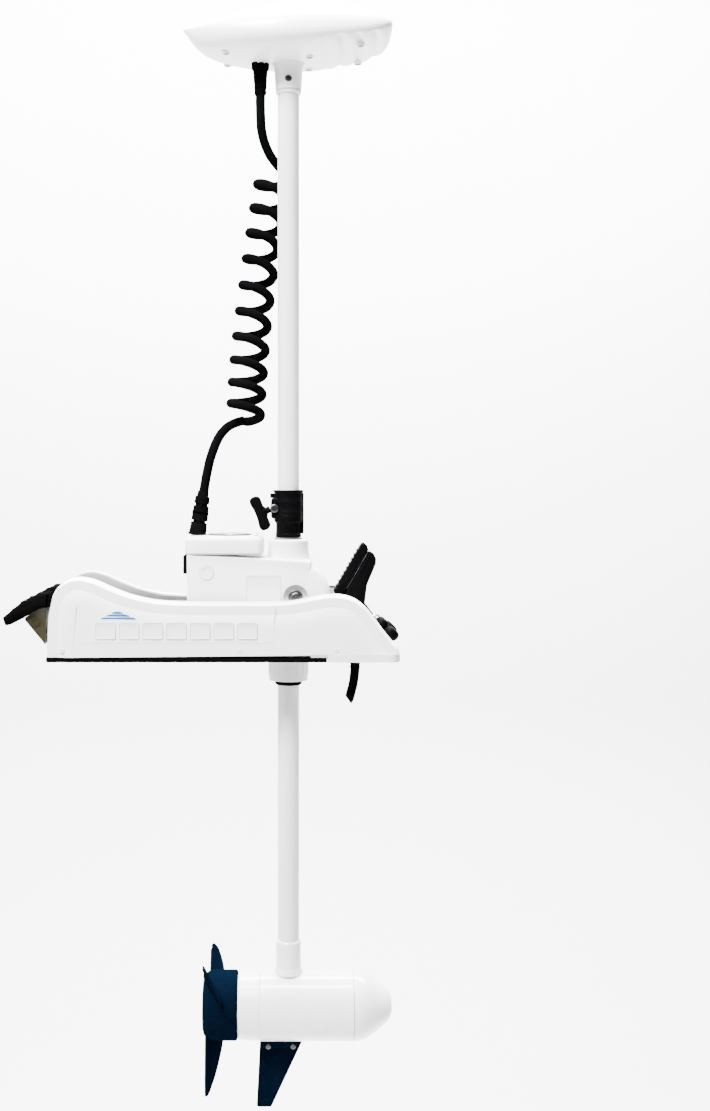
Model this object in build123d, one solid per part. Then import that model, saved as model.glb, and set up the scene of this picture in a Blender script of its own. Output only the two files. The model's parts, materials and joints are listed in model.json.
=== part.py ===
from build123d import *
import math
import os

# Bow-mount electric trolling motor with a fork-shaped deck mount, in millimetres.
# +Z is up and +X points to the bow end, past the shaft. The origin is the centre of the four
# deck bolts, on the deck plane. Every piece is drawn about the motor's shaft axis, and save()
# moves it SHAFT_X forward of the deck bolts.

os.makedirs("parts", exist_ok=True)

# ---- Driving dimensions ----
SHAFT_X = 165.0
BOLT_HALF_X = 105.0
BOLT_Y = 60.0
BOLT_HOLE_R = 4.25

SHAFT_R = 14.0
SHAFT_WALL = 2.0
SHAFT_TOP = 752.0
SHAFT_BOTTOM = -406.0
RUN = 0.05  # radial clearance of a running fit

REAR = -302.0  # stern end of the deck mount, from the shaft axis
BOW = 140.0  # bow end of the deck mount
CHANNEL = 40.0  # half width of the open channel between the rails
HALF_WIDTH = 76.0
PAD_T = 5.5
RAIL_T = 4.0
END_PLATE_X = 49.0
END_PLATE_T = 9.0

PIVOT_X = 9.0
PIVOT_Z = 78.0
PIVOT_R = 5.0

HOUSING_HALF = 36.0
HOUSING_REAR = -130.0
HOUSING_TOP = 133.0
LID_TOP = 155.0
BOSS_TOP = 150.0
SHOULDER_R = 45.0
WALL = 3.0

DRIVE_R = 18.0
COLLAR_BOTTOM = 152.5
COLLAR_TOP = 213.5

POD_Z = -455.5
POD_R = 44.0
POD_REAR = -37.0
POD_FRONT = 84.0
HUB_REAR = -110.5
HUB_FRONT = -66.0
MOTOR_SHAFT_R = 5.0

HEAD_SEAM = 800.0
GLAND_X = -36.5  # where the cord enters the control head
GLAND_R = 7.9
GLAND_BOTTOM = 727.0
CORD_R = 5.75
COIL_R = 26.0


# ---- Shared helpers ----
def save(name, *shapes):
    """Write one named piece, moved from the shaft axis to the deck bolts' origin."""
    moved = [Pos(SHAFT_X, 0, 0) * shape for shape in shapes]
    export_step(moved[0] if len(moved) == 1 else Compound(children=moved), f"parts/{name}.step")


def block(x, y, z):
    """A box from three (low, high) pairs."""
    size = Box(x[1] - x[0], y[1] - y[0], z[1] - z[0])
    return Pos(sum(x) / 2, sum(y) / 2, sum(z) / 2) * size


def upright(r, z, x=0.0, y=0.0):
    return Pos(x, y, sum(z) / 2) * Cylinder(r, z[1] - z[0])


def crosswise(r, y, x, z):
    return Pos(x, sum(y) / 2, z) * Rot(90, 0, 0) * Cylinder(r, y[1] - y[0])


def lengthwise(r, x, z, y=0.0):
    return Pos(sum(x) / 2, y, z) * Rot(0, 90, 0) * Cylinder(r, x[1] - x[0])


def side_plate(corners, y):
    """An outline of (x, z) corners, extruded across from y[0] to y[1]."""
    outline = Polyline(*[(x, y[0], z) for x, z in corners], close=True)
    return extrude(make_face(outline), amount=y[1] - y[0], dir=(0, 1, 0))


def turned(profile):
    """A (x, r) profile turned about the pod's axis."""
    face = make_face(Polyline(*[(x, 0, POD_Z + r) for x, r in profile], close=True))
    return revolve(face, axis=Axis((0, 0, POD_Z), (1, 0, 0)))


def ring(r_out, r_in, z, x=0.0, y=0.0):
    return upright(r_out, z, x, y) - upright(r_in, (z[0] - 1, z[1] + 1), x, y)


def hexagon(across, length):
    return extrude(RegularPolygon(across / math.sqrt(3), 6), amount=length)


def both_sides(piece):
    return piece, mirror(piece, about=Plane.XZ)


def spur_gear(teeth, module, z, bore, centre_x, turned_deg):
    """A spur gear with thinned trapezoid teeth, so that it runs with backlash."""
    pitch_r = teeth * module / 2
    step = 360 / teeth
    corners = []
    for i in range(teeth):
        for r, share in (
            (pitch_r - 1.25 * module, -0.32),
            (pitch_r + 0.9 * module, -0.11),
            (pitch_r + 0.9 * module, 0.11),
            (pitch_r - 1.25 * module, 0.32),
        ):
            a = math.radians(turned_deg + (i + share) * step)
            corners.append((centre_x + r * math.cos(a), r * math.sin(a), z[0]))
    gear = extrude(make_face(Polyline(*corners, close=True)), amount=z[1] - z[0], dir=(0, 0, 1))
    return gear - upright(bore, (z[0] - 1, z[1] + 1), centre_x)


# ---- Deck mount ----
COVER_TOP = [
    (-303, 7), (-292, 88), (-278, 101), (-262, 104.5), (-244, 101), (-222, 91), (-198, 82),
    (-169, 75.5), (-140, 73.5),
]
COVER_SCREW_X = (-282, -60, 60)
COVER_SCREW_Z = 20.0
COVER_HUMP = [(1, 73.5), (20, 77.5), (43, 82), (62, 82.8), (82, 78), (96, 67), (115, 38), (139.5, 12)]


def cover_outline(y, inset):
    """The side cover's outline at one depth, drawn inwards by inset."""
    rear = [(x + inset * 0.9, z - inset) for x, z in COVER_TOP[1:]]
    hump = [(x - inset * 0.4, z - inset) for x, z in COVER_HUMP]
    bottom = 6.0 if inset == 0 else 2.0
    foot_l = (COVER_TOP[0][0] + inset, y, bottom)
    foot_r = (hump[-1][0], y, bottom)
    top_l = Spline(*[(x, y, z) for x, z in rear], tangents=[(0.5, 0, 1), (1, 0, 0)])
    top_r = Spline(*[(x, y, z) for x, z in hump[:-1]], tangents=[(1, 0, 0), (0.55, 0, -0.75)])
    edges = [
        Line(foot_l, top_l @ 0),
        top_l,
        Line(top_l @ 1, top_r @ 0),
        top_r,
        Line(top_r @ 1, (hump[-1][0], y, hump[-1][1])),
        Line((hump[-1][0], y, hump[-1][1]), foot_r),
        Line(foot_r, foot_l),
    ]
    return make_face(edges)


def side_cover(slot):
    """One plastic cover over the far rail, open below and on its inner side."""
    inner_y = CHANNEL + 5
    edge_y = HALF_WIDTH - 9  # where the rounded outer shoulder begins
    outer = loft([cover_outline(inner_y, 0), cover_outline(edge_y, 0)], ruled=True)
    shoulder = loft([cover_outline(edge_y, 0), cover_outline(HALF_WIDTH, 7)], ruled=True)
    hollow = extrude(cover_outline(inner_y - 1, 3.2), amount=edge_y + 1 - inner_y, dir=(0, 1, 0))
    shell = outer + shoulder - hollow
    shell = shell - crosswise(11, (inner_y - 1, inner_y + 8), PIVOT_X, PIVOT_Z)
    below = block((REAR - 20, BOW + 20), (0, 100), (-20, PAD_T + 0.5))
    end_step = block((END_PLATE_X - 1, BOW + 20), (0, 100), (-20, END_PLATE_T + 0.3))
    shell = shell - below - end_step
    if slot:
        shell = shell - block((50, 128), (47, 71), (34, 95))
    return shell


def bolt_holes():
    """The two deck bolt holes on the far side."""
    front, rear = (upright(BOLT_HOLE_R, (-1, 20), x - SHAFT_X, BOLT_Y) for x in (BOLT_HALF_X, -BOLT_HALF_X))
    return front + rear


def side_rail():
    """An angle-section rail with an ear for the tilt pivot, on the far side."""
    web = side_plate(
        [(REAR + 5, PAD_T), (BOW - 46, PAD_T), (BOW - 46, 40), (50, 66), (REAR + 30, 66), (REAR + 5, 30)],
        (CHANNEL, CHANNEL + RAIL_T),
    )
    ear = crosswise(16, (CHANNEL, CHANNEL + RAIL_T), PIVOT_X, PIVOT_Z)
    flange = block((REAR + 5, END_PLATE_X - 0.5), (CHANNEL, 66), (PAD_T, PAD_T + RAIL_T))
    rail = web + ear + flange
    rail = rail - block((END_PLATE_X - 0.5, BOW), (0, 80), (0, END_PLATE_T))
    rail = rail - crosswise(8, (CHANNEL - 1, CHANNEL + 9), PIVOT_X, PIVOT_Z)
    return rail - bolt_holes()


def rail_pad():
    return block((REAR, END_PLATE_X - 1), (CHANNEL, HALF_WIDTH - 1), (0, PAD_T)) - bolt_holes()


def pivot_bush():
    bush = crosswise(8, (HOUSING_HALF + 0.3, CHANNEL + RAIL_T), PIVOT_X, PIVOT_Z)
    bush = bush + crosswise(11, (HOUSING_HALF + 0.3, CHANNEL - 0.2), PIVOT_X, PIVOT_Z)
    return bush - crosswise(PIVOT_R + RUN, (30, 50), PIVOT_X, PIVOT_Z)


def deck_mount():
    save("side_cover_far", side_cover(slot=True))
    save("side_cover_near", mirror(side_cover(slot=False), about=Plane.XZ))
    save("side_rails", *both_sides(side_rail()))
    save("rail_pads", *both_sides(rail_pad()))
    save("pivot_bushes", *both_sides(pivot_bush()))
    save("pod_rests", *both_sides(pod_rest()))
    save("rest_brackets", *both_sides(rest_bracket()))
    end_plate = block((END_PLATE_X, BOW), (-HALF_WIDTH, HALF_WIDTH), (0, END_PLATE_T))
    end_plate = fillet(end_plate.edges().filter_by(Axis.Z).group_by(Axis.X)[-1], 14)
    end_plate = end_plate - block((78, 95), (-9, 9), (-1, END_PLATE_T + 1))
    guide = block((54, 72), (-13, 13), (END_PLATE_T, 56))
    guide = guide - lengthwise(LATCH_R + RUN, (50, 90), LATCH_Z)
    save("end_plate", end_plate + guide)
    bolt = crosswise(PIVOT_R, (23, 46), PIVOT_X, PIVOT_Z) + crosswise(8, (46, 50), PIVOT_X, PIVOT_Z)
    save("pivot_bolts", *both_sides(bolt))
    screws = []
    for x in COVER_SCREW_X:
        screws += both_sides(crosswise(3.2, (HALF_WIDTH + 0.1, HALF_WIDTH + 1.3), x, COVER_SCREW_Z))
    save("cover_screws", *screws)


def pod_rest():
    """The black rubber rest that the stowed motor lies on."""
    corners = [
        (-298, 86), (-313, 84.7), (-331.7, 75.2), (-356.7, 54.7), (-353, 44.7), (-330.5, 54),
        (-312, 66), (-298, 70),
    ]
    return side_plate(corners, (46, 74)) - block((-304.5, -290), (40, 80), (60, 90))


def rest_bracket():
    """The tinted bracket under the rest, with its lashing hole."""
    bracket = side_plate([(-330.5, 53.4), (-303.5, 25), (-303.5, 68.3), (-311.8, 65.4)], (50, 70))
    return bracket - crosswise(4, (40, 80), -313.5, 49)


# ---- Latch, pedal, lock knob and strap at the bow end ----
LATCH_Z = 48.0
LATCH_R = 5.0
PEDAL_PIN = (84.0, 40.0)


def pedal_parts():
    save("latch_bolt", lengthwise(LATCH_R, (44, 88), LATCH_Z))
    corners = [
        (62, 71), (60, 82), (98.5, 142.7), (107.8, 133), (117, 119), (115.3, 109), (106, 94),
        (102.5, 78), (100, 52), (92, 32), (76, 32), (70, 50),
    ]
    pedal = side_plate(corners, (50, 67))
    pedal = fillet(pedal.edges().filter_by(Axis.Y), 3)
    rib = side_plate([(64, 84), (98.5, 142.7), (104, 137), (72, 84)], (48.5, 69.5))
    pedal = pedal + rib - crosswise(3 + RUN, (40, 80), *PEDAL_PIN)
    save("foot_pedal", pedal)
    save("pedal_pin", crosswise(3, (44.2, 67.5), *PEDAL_PIN))
    spring = crosswise(7, (44.4, 48), *PEDAL_PIN) - crosswise(5.5, (40, 60), *PEDAL_PIN)
    save("pedal_spring", spring)


def lock_parts():
    """The clamp knob that stands square on the sloping bow bracket."""
    bracket = side_plate(
        [(104, END_PLATE_T), (138, END_PLATE_T), (138, 12), (108, 40), (104, 40)], (-34, 34)
    )
    frame = Pos(123, 0, 26) * Rot(0, 45, 0)
    stud = frame * Cylinder(4, 30)
    stud = stud - block((100, 140), (-34, 34), (-20, END_PLATE_T + 2))
    save("bow_bracket", bracket + stud)
    lobes = Cylinder(11, 11)
    for a in (0, 120, 240):
        lobes = lobes + Rot(0, 0, a) * Pos(11, 0, 0) * Cylinder(6.5, 11)
    knob = frame * Pos(0, 0, 8) * lobes
    save("lock_knob", knob - frame * Cylinder(4 + RUN, 60))


def strap():
    """The rubber strap that hangs through the end plate."""
    path = Polyline((86.5, 0, END_PLATE_T + 3), (86.5, 0, -12), (85, 0, -32), (79, 0, -58))
    section = Plane(origin=(86.5, 0, END_PLATE_T + 3), z_dir=(0, 0, -1)) * RectangleRounded(12, 15, 2)
    body = sweep(section, path=path, transition=Transition.ROUND)
    head = block((74, 99), (-14, 14), (END_PLATE_T + 0.2, END_PLATE_T + 5))
    save("hold_down_strap", body + head)


# ---- Steering unit ----
GEAR_Z = (100.0, 109.0)
MAIN_TEETH = 56
IDLER_TEETH = 32
PINION_TEETH = 12
IDLER_X = -(MAIN_TEETH + IDLER_TEETH) / 2
PINION_X = IDLER_X - (IDLER_TEETH + PINION_TEETH) / 2
BORE_R = 26.2


def housing_outline(y, inset):
    """The housing's side outline: a block to the rear and a round shoulder about the tilt pivot."""
    r = SHOULDER_R - inset
    start = math.radians(62)
    end = math.radians(-100)
    mid = (start + end) / 2
    on = [(PIVOT_X + r * math.cos(a), y, PIVOT_Z + r * math.sin(a)) for a in (start, mid, end)]
    rear = HOUSING_REAR + inset
    corners = [
        (rear, y, 56 + inset), (rear, y, HOUSING_TOP - inset), (on[0][0], y, HOUSING_TOP - inset), on[0]
    ]
    edges = [Line(a, b) for a, b in zip(corners, corners[1:])]
    edges.append(ThreePointArc(*on))
    edges.append(Line(on[2], (-90, y, 36 + inset)))
    edges.append(Line((-90, y, 36 + inset), corners[0]))
    return make_face(edges)


def housing_shell():
    """The far half of the housing, split on the middle plane."""
    outer = extrude(housing_outline(0, 0), amount=HOUSING_HALF, dir=(0, 1, 0))
    inner = extrude(housing_outline(0, WALL), amount=HOUSING_HALF - WALL, dir=(0, 1, 0))
    half = block((-400, 400), (0, 100), (-100, 400))
    boss = upright(BORE_R, (110, BOSS_TOP)) & half
    neck = upright(23, (-10, 60)) & half
    shell = outer + boss + neck
    shell = shell - (inner - crosswise(14, (0, 50), PIVOT_X, PIVOT_Z))
    shell = shell - upright(21, (28, 139)) - upright(21, (-20, 28))
    shell = shell - upright(21, (130, 139)) - upright(DRIVE_R + 1.5, (100, 200))
    shell = shell - crosswise(PIVOT_R + RUN, (-1, 50), PIVOT_X, PIVOT_Z)
    groove = crosswise(SHOULDER_R + 2, (0, 7), PIVOT_X, PIVOT_Z)
    groove = groove - crosswise(SHOULDER_R - 2, (-1, 8), PIVOT_X, PIVOT_Z)
    return shell - groove


def steering_unit():
    shell = housing_shell()
    save("housing_shell_far", shell)
    save("housing_shell_near", mirror(shell, about=Plane.XZ))
    lid = block((-132.5, -31.5), (-37.5, 37.5), (HOUSING_TOP + 0.2, LID_TOP))
    lid = fillet(lid.edges().filter_by(Axis.Z), 12)
    lid = lid - block((-129, -35), (-34, 34), (HOUSING_TOP - 1, LID_TOP - WALL))
    lid = lid - upright(29.5, (LID_TOP - 1.5, LID_TOP + 5), -76)
    save("housing_lid", lid)
    save("indicator_lens", upright(29.3, (LID_TOP - 1.5, LID_TOP + 1), -76))
    save("port_plug", block((HOUSING_REAR - 3.5, HOUSING_REAR), (-10, 10), (106, 129)))
    save("sleeve_bearings", ring(19.5, DRIVE_R + RUN, (139, 147)), ring(21, DRIVE_R + RUN, (-9, 0)))
    nut = ring(25.2, 23, (-30, -2)) + ring(25.2, DRIVE_R + 0.6, (-32.5, -30))
    nut = nut + ring(25.2, 23, (-2, 4))
    for i in range(18):
        nut = nut + Rot(0, 0, i * 20) * block((24.6, 26), (-1.2, 1.2), (-26, -2))
    save("sleeve_nut", nut)
    save("seal_ring", ring(16, SHAFT_R + 0.3, (-36.5, -32.7)))
    save("gear_plate", gear_plate() + upright(3, (95, 114), IDLER_X))
    motor = upright(15, (48, 92), PINION_X) + upright(6, (92, 96), PINION_X)
    save("steering_motor", motor)
    save("control_board", block((-124, -38), (-28, 28), (124, 125.6)))
    save("cord_strain_relief", strain_relief())
    save("idler_gear", spur_gear(IDLER_TEETH, 1, GEAR_Z, 3 + RUN, IDLER_X, 180 / IDLER_TEETH))
    pinion = spur_gear(PINION_TEETH, 1, GEAR_Z, 1.0, PINION_X, 0)
    save("motor_pinion", pinion)


def gear_plate():
    plate = block((-96, -24), (-24, 24), (92.5, 95.8))
    plate = plate - upright(DRIVE_R + 1.5, (80, 120)) - upright(6.2, (80, 120), PINION_X)
    return plate


def strain_relief():
    """Ribbed rubber relief on the lid, leaning towards the shaft as the cord leaves it."""
    lean = Pos(-118.5, 0, LID_TOP) * Rot(0, 8, 0)
    parts = Pos(0, 0, 26) * Cone(9.5, 6.5, 52)
    for middle_z, r, height in ((6.5, 11.6, 13), (25, 11.2, 8), (41, 10.8, 8)):
        parts = parts + Pos(0, 0, middle_z) * Cylinder(r, height)
    relief = lean * parts
    return relief - block((-200, 0), (-50, 50), (100, LID_TOP))


# ---- Drive sleeve ----
KNOB_Z = 190.0


def drive_sleeve():
    save("drive_tube", ring(DRIVE_R, SHAFT_R + RUN, (-29.5, 152)))
    gear = spur_gear(MAIN_TEETH, 1, GEAR_Z, DRIVE_R, 0, 180)
    save("main_gear", gear)
    collar = upright(16.2, (COLLAR_BOTTOM, 172)) + upright(18.6, (168, COLLAR_TOP))
    collar = collar + upright(19.4, (COLLAR_TOP - 2, COLLAR_TOP))
    collar = collar + block((10, 21), (-3.5, 3.5), (158, COLLAR_TOP - 2))
    collar = collar + block((-25, -8), (-12, 12), (178, 202))
    for z in (180.0, 196.0):
        collar = collar + upright(19.1, (z, z + 2.5))
    knob_frame = Pos(-20, 0, KNOB_Z) * Rot(0, -112, 0)
    collar = collar - upright(SHAFT_R + RUN, (100, 300))
    collar = collar - knob_frame * Cylinder(4 + RUN, 22)
    collar = collar - crosswise(3, (-12.5, -6), -18, KNOB_Z) - crosswise(5.5, (-16, -12), -18, KNOB_Z)
    save("depth_collar", collar)
    screw = crosswise(5.5, (-15, -12), -18, KNOB_Z) + crosswise(3, (-12, -6), -18, KNOB_Z)
    save("collar_screw", screw)
    stem = Pos(0, 0, 6) * Cylinder(4, 17)
    bar = Pos(0, 0, 18.4) * Box(46, 12, 9)
    bar = fillet(bar.edges().filter_by(Axis.Z), 4)
    save("clamp_knob", knob_frame * (stem + bar + Pos(0, 0, 12) * Cylinder(7, 5)))


# ---- Shaft unit ----
HEAD_SECTIONS = [
    # (x, half width, lowest z, highest z)
    (-137, 3, 806, 812),
    (-124, 22, 797, 815),
    (-108, 38, 779, 819),
    (-80, 55, 767, 828),
    (-40, 70, 759.5, 838),
    (10, 76, 758, 845),
    (60, 74, 764, 842),
    (104, 65, 778, 832),
    (128, 54, 789, 821),
    (132, 48, 796, 816),
]


def head_body(inset):
    """The control head's outer form, as ellipses lofted along it."""
    faces = []
    for x, half, low, high in HEAD_SECTIONS:
        if inset and (x < -130 or x > 130):
            continue
        a, b = half - inset, (high - low) / 2 - inset
        plane = Plane(origin=(x, 0, (low + high) / 2), x_dir=(0, 1, 0), z_dir=(1, 0, 0))
        faces.append(plane * Ellipse(a, b))
    return loft(faces)


def head_covers():
    body = head_body(0)
    hollow = head_body(WALL)
    lower_half = block((-200, 200), (-100, 100), (700, HEAD_SEAM))
    shell = body - hollow
    top = shell - lower_half
    bottom = shell & lower_half
    neck = upright(18.2, (748, 775)) - upright(SHAFT_R, (740, 780))
    bottom = bottom - upright(18.2, (740, 775))
    save("head_cover_top", top)
    save("head_cover_bottom", bottom - upright(GLAND_R + RUN, (740, 772), GLAND_X))
    cone = Pos(0, 0, 737.5) * Cone(16.8, 18.2, 21) - upright(SHAFT_R, (700, 800))
    cone = cone - crosswise(3, (-30, -10), 0, 741)
    save("head_neck", cone + neck)
    screw = crosswise(3, (-18.5, -14), 0, 741) + crosswise(4.5, (-20, -18.3), 0, 741)
    save("neck_screw", screw)
    board = block((-70, 80), (-38, 38), (790, 791.6))
    save("head_board", board - upright(SHAFT_R + 2, (700, 800)))
    gland = upright(GLAND_R, (GLAND_BOTTOM, 775), GLAND_X) + upright(13, (753, 757.2), GLAND_X)
    for z in (730, 738, 746):
        gland = gland + upright(GLAND_R + 0.7, (z, z + 3.5), GLAND_X)
    save("head_gland", gland)


def shaft_and_pod():
    tube = ring(SHAFT_R, SHAFT_R - SHAFT_WALL, (SHAFT_BOTTOM, SHAFT_TOP))
    save("shaft_tube", tube)
    strut = upright(16.2, (-430, -372)) + Pos(0, 0, -371) * Cone(16.2, 14.8, 2)
    strut = strut + Pos(0, 0, -409) * Cone(19, 16.2, 8)
    strut = strut - upright(SHAFT_R, (SHAFT_BOTTOM, -300)) - lengthwise(POD_R, (-60, 60), POD_Z)
    strut = strut - upright(8, (-440, -300))
    save("strut", strut)
    pod = turned([
        (POD_REAR, POD_R - 4), (POD_REAR, POD_R - 1), (POD_REAR + 1, POD_R),
        (POD_FRONT - 1, POD_R), (POD_FRONT, POD_R - 1), (POD_FRONT, POD_R - 4),
    ])
    save("pod_tube", pod - upright(7.5, (POD_Z, -400)))
    rear = turned([
        (HUB_FRONT + 1, MOTOR_SHAFT_R + 1), (HUB_FRONT + 1, 40.5), (HUB_FRONT + 4, 42.5),
        (POD_REAR - 0.5, 43.2), (POD_REAR - 0.5, 39.8), (POD_REAR + 6, 39.8), (POD_REAR + 6, 36),
        (POD_REAR - 6, 36), (POD_REAR - 6, 15), (POD_REAR, 15), (POD_REAR, 11),
        (POD_REAR - 9, 11), (POD_REAR - 9, MOTOR_SHAFT_R + 1),
    ])
    rear = rear - lengthwise(11, (HUB_FRONT, HUB_FRONT + 8), POD_Z)
    save("pod_rear_cap", rear)
    save("pod_nose", pod_nose())
    save("motor_bearings", bearing(POD_REAR - 9), bearing(POD_FRONT + 1))
    save("shaft_seal", lengthwise(11, (HUB_FRONT + 2, HUB_FRONT + 8), POD_Z)
         - lengthwise(MOTOR_SHAFT_R + RUN, (-80, 0), POD_Z))
    magnets = lengthwise(39.8, (-26, 50), POD_Z) - lengthwise(35, (-40, 60), POD_Z)
    gap = block((-50, 80), (-60, 60), (POD_Z - 8, POD_Z + 8))
    save("magnets", *(magnets - gap).solids())
    carrier = lengthwise(39.8, (56, 60), POD_Z) - lengthwise(20, (50, 70), POD_Z)
    for sign in (-1, 1):
        brush = block((60, 70), (14.4, 30), (-5, 5))
        carrier = carrier + Pos(0, 0, POD_Z) * (brush if sign > 0 else mirror(brush, about=Plane.XZ))
    save("brush_carrier", carrier - lengthwise(14.3, (50, 80), POD_Z))
    save("skeg", skeg())
    screws = [crosswise(2.8, (-8.6, 8.6), x, -506) for x in (-26, 6)]
    save("skeg_screws", *screws)


def pod_nose():
    """The round nose of the pod: a spigot, then an arc to the tip."""
    tip = (134.5, 0, POD_Z)
    shoulder = (POD_FRONT + 0.5, 0, POD_Z + POD_R)
    edges = [
        Line((POD_FRONT + 0.5, 0, POD_Z + 39.8), shoulder),
        Spline(shoulder, (POD_FRONT + 21, 0, POD_Z + 37.5), (POD_FRONT + 38, 0, POD_Z + 25), tip,
               tangents=[(1, 0, 0), (0, 0, -1)]),
        Line(tip, (POD_FRONT - 6, 0, POD_Z)),
        Line((POD_FRONT - 6, 0, POD_Z), (POD_FRONT - 6, 0, POD_Z + 39.8)),
        Line((POD_FRONT - 6, 0, POD_Z + 39.8), (POD_FRONT + 0.5, 0, POD_Z + 39.8)),
    ]
    nose = revolve(make_face(edges), axis=Axis((0, 0, POD_Z), (1, 0, 0)))
    nose = nose - (lengthwise(36, (POD_FRONT - 7, POD_FRONT + 8), POD_Z)
                   - lengthwise(15, (POD_FRONT, POD_FRONT + 9), POD_Z))
    return nose - lengthwise(11, (POD_FRONT - 10, POD_FRONT + 9), POD_Z)


def bearing(x):
    return (lengthwise(11, (x, x + 7), POD_Z)
            - lengthwise(MOTOR_SHAFT_R + RUN, (x - 1, x + 8), POD_Z))


def skeg():
    """The fin under the pod, with a foot that fits the tube."""
    fin = side_plate([(-37, -490), (19, -490), (-22.8, -587), (-41.2, -587)], (-2.5, 2.5))
    foot = side_plate([(-37, -490), (19, -490), (13, -510), (-35, -512)], (-8, 8))
    fin = fin + foot
    fin = fin - lengthwise(POD_R + 0.05, (-80, 80), POD_Z)
    for x in (-26, 6):
        fin = fin - crosswise(2.8, (-20, 20), x, -506)
    return fin


# ---- Rotor ----
BLADE_STATIONS = [
    # (radius, chord, thickness, pitch in degrees from the disc plane)
    (34, 46, 7.0, 30),
    (60, 44, 5.0, 26),
    (88, 38, 3.6, 19),
    (104, 26, 2.6, 14),
    (111, 15, 2.0, 12),
]
BLADE_ANGLES = (170.0, 290.0, 50.0)
BLADE_REAR = -107.0  # every station's trailing edge lies here


def blade():
    """One blade pointing up, lofted through its stations."""
    faces = []
    for r, chord, thick, pitch in BLADE_STATIONS:
        turn = math.radians(pitch)
        middle_x = BLADE_REAR + chord / 2 * math.sin(turn)
        chord_dir = (-math.sin(turn), math.cos(turn), 0)
        plane = Plane(origin=(middle_x, 0, POD_Z + r), x_dir=chord_dir, z_dir=(0, 0, 1))
        faces.append(plane * Ellipse(chord / 2, thick / 2))
    return loft(faces)


def rotor():
    hub = turned([
        (HUB_REAR, 12), (HUB_REAR, 34), (HUB_REAR + 3, 40), (HUB_REAR + 8, 43), (HUB_FRONT, 43),
        (HUB_FRONT, MOTOR_SHAFT_R), (HUB_REAR + 9, MOTOR_SHAFT_R), (HUB_REAR + 9, 12),
    ])
    prop = hub
    for a in BLADE_ANGLES:
        prop = prop + Pos(0, 0, POD_Z) * Rot(a, 0, 0) * Pos(0, 0, -POD_Z) * blade()
    core = lengthwise(MOTOR_SHAFT_R, (HUB_REAR, HUB_FRONT + 5), POD_Z)
    well = lengthwise(12, (HUB_REAR - 10, HUB_REAR + 9), POD_Z)
    pin_x = HUB_FRONT - 12
    prop = prop - core - well - crosswise(2, (-16, 16), pin_x, POD_Z)
    save("propeller", prop)
    shaft = lengthwise(MOTOR_SHAFT_R, (HUB_REAR + 1, POD_FRONT + 8), POD_Z)
    save("motor_shaft", shaft + crosswise(2, (-16, 16), pin_x, POD_Z))
    nut = Pos(HUB_REAR + 1.5, 0, POD_Z) * Rot(0, 90, 0) * hexagon(16, 7)
    save("prop_nut", nut - lengthwise(MOTOR_SHAFT_R, (HUB_REAR - 5, HUB_FRONT), POD_Z))
    armature = lengthwise(34, (-24, 48), POD_Z) - lengthwise(MOTOR_SHAFT_R, (-40, 60), POD_Z)
    commutator = lengthwise(14, (53, 72), POD_Z) - lengthwise(MOTOR_SHAFT_R, (40, 90), POD_Z)
    save("armature", armature, commutator)


# ---- Cord ----
UPPER_LEAD = [
    (-36.5, 0, 726.9), (-36.5, 0.5, 702), (-35, 3, 677), (-27, 13, 655), (-14, 28, 640),
    (-2, 37, 632), (1.5, 39, 624.2),
]
COIL_PATH = [(-19, 41, 624), (-34, 31, 545), (-46, 13, 450), (-53, 4, 380), (-56, 1, 312)]
LOWER_LEAD = [
    (-58, 19, 304.5), (-74, 16, 301), (-90, 8, 286), (-101, 1, 258), (-107, 0, 231), (-110.6, 0, 207.6)
]


def corner_radii(points):
    """The largest arc at each corner that its two runs allow."""
    radii = []
    for a, b, c in zip(points, points[1:], points[2:]):
        before = Vector(*b) - Vector(*a)
        after = Vector(*c) - Vector(*b)
        half_turn = math.radians(before.get_angle(after)) / 2
        radii.append(0.45 * min(before.length, after.length) / math.tan(half_turn))
    return radii


def cord_tube(name, points, radius):
    """A round tube along straight runs joined by tangent arcs."""
    radii = corner_radii(points)
    path = FilletPolyline(*points, radius=radii)
    start = Plane(origin=path @ 0, z_dir=path % 0)
    tube = sweep(start * Circle(radius), path=path)
    share = tube.volume / (math.pi * radius**2 * path.length)
    print(name, "radii", [round(r) for r in radii], "length", round(path.length), "volume", round(share, 4))
    save(name, tube)


deck_mount()
pedal_parts()
lock_parts()
strap()
steering_unit()
drive_sleeve()
head_covers()
shaft_and_pod()
rotor()
cord_tube("cord_upper_lead", UPPER_LEAD, CORD_R)
cord_tube("cord_coil", COIL_PATH, COIL_R)
cord_tube("cord_lower_lead", LOWER_LEAD, CORD_R)
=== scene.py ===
import json
import math

import bmesh
import bpy
import numpy as np
from mathutils import Matrix, Vector

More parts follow.
